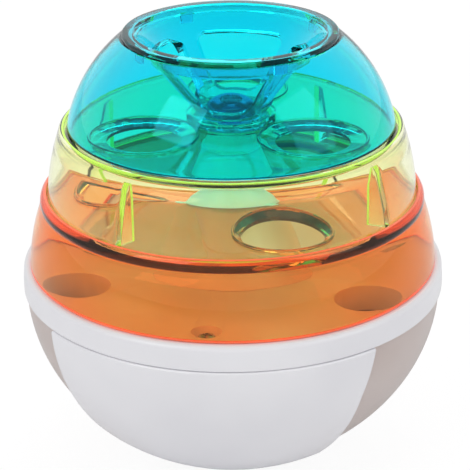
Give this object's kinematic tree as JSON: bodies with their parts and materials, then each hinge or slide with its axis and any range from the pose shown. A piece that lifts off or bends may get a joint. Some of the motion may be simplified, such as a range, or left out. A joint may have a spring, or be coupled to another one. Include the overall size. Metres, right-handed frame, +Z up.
{
  "type": "treat dispenser",
  "caption": "Round pet treat dispenser: clear blue dome with funnel and push button, clear yellow and orange turning tiers with holes, white weighted bowl base with an outlet drum.",
  "frame": {"origin": "centre of the flat foot on the surface it stands on", "axes": "+Z up along the spindle, -Y towards the viewer of the picture"},
  "size_m": [0.1462, 0.1472, 0.1534],
  "materials": {
    "white_shell": "satin white moulding",
    "foot_rubber": "matte",
    "weight_iron": "as cast",
    "grey_plastic": "satin",
    "bearing_plastic": "satin",
    "screw_steel": "zinc plated",
    "rod_steel": "ground",
    "spring_steel": "drawn wire",
    "frosted_plastic": "frosted, smooth outside",
    "orange_clear": "clear tinted moulding, polished",
    "yellow_clear": "clear tinted moulding, polished",
    "blue_clear": "clear tinted moulding, polished",
    "milky_plastic": "milky",
    "button_blue": "tinted moulding, polished"
  },
  "bodies": {
    "base": {"base_bowl": "white_shell", "base_band": "white_shell", "base_deck": "white_shell", "deck_cone": "white_shell", "foot_ring": "foot_rubber", "ballast_weight": "weight_iron", "ballast_cap": "grey_plastic", "cap_screws": "screw_steel", "deck_screws": "screw_steel", "spindle_screws": "screw_steel", "spindle": "grey_plastic", "spindle_nut": "grey_plastic", "drum_washer": "bearing_plastic", "lower_washer": "bearing_plastic", "button_spring": "spring_steel"},
    "drum": {"outlet_drum": "frosted_plastic", "cam_sleeve": "bearing_plastic"},
    "orange_tier": {"orange_ring": "orange_clear", "orange_deck": "orange_clear", "upper_cone": "milky_plastic", "upper_washer": "bearing_plastic"},
    "yellow_tier": {"yellow_ring": "yellow_clear", "yellow_deck": "yellow_clear"},
    "dome": {"dome_shell": "blue_clear", "funnel": "blue_clear"},
    "button": {"push_button": "button_blue", "push_rod": "rod_steel", "cam_pin": "rod_steel"}
  },
  "joints": [
    {"name": "drum_turn", "type": "hinge", "parent": "base", "child": "drum", "pos_m": [0, 0, 0.02], "axis": [0, 0, 1], "range_deg": [0, 36]},
    {"name": "button_press", "type": "slide", "parent": "base", "child": "button", "axis": [0, 0, -1], "range_m": [0, 0.003], "stiffness_N_per_m": 700, "springref_m": -0.003, "deforming": ["button_spring"]},
    {"name": "orange_turn", "type": "hinge", "parent": "base", "child": "orange_tier", "pos_m": [0, 0, 0.08], "axis": [0, 0, 1], "continuous": true},
    {"name": "yellow_turn", "type": "hinge", "parent": "orange_tier", "child": "yellow_tier", "pos_m": [0, 0, 0.1], "axis": [0, 0, 1], "continuous": true},
    {"name": "dome_turn", "type": "hinge", "parent": "yellow_tier", "child": "dome", "pos_m": [0, 0, 0.13], "axis": [0, 0, 1], "continuous": true}
  ],
  "couplings": [
    {"joint": "button_press", "follows": "drum_turn", "m_per_rad": 0.0047746}
  ]
}
